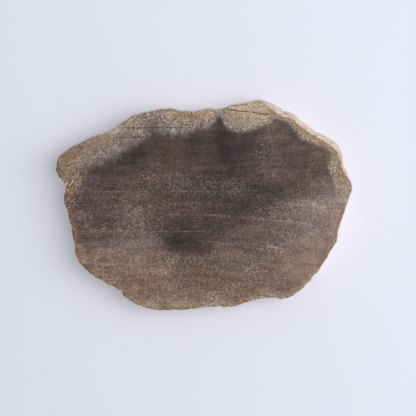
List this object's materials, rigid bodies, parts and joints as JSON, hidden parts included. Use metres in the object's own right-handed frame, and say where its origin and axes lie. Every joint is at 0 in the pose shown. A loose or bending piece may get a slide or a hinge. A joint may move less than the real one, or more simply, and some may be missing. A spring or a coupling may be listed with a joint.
{
  "type": "petrified wood slice",
  "caption": "Flat cross-cut slice of petrified wood: two sawn faces with fine grain, a dark heart and tan outer wood, and the log's own fluted, broken rim.",
  "frame": {"origin": "on the lower sawn face, under the middle of the slice's box", "axes": "+Z out of the upper sawn face, +X along the slice's length towards its blunt end, +Y across it towards the edge with the broad tan band"},
  "size_m": [0.095, 0.0678, 0.008],
  "materials": {
    "petrified_wood": "sawn flat and left unpolished, with a matt natural rim"
  },
  "bodies": {
    "root": {"petrified_wood_slice": "petrified_wood"}
  },
  "joints": []
}
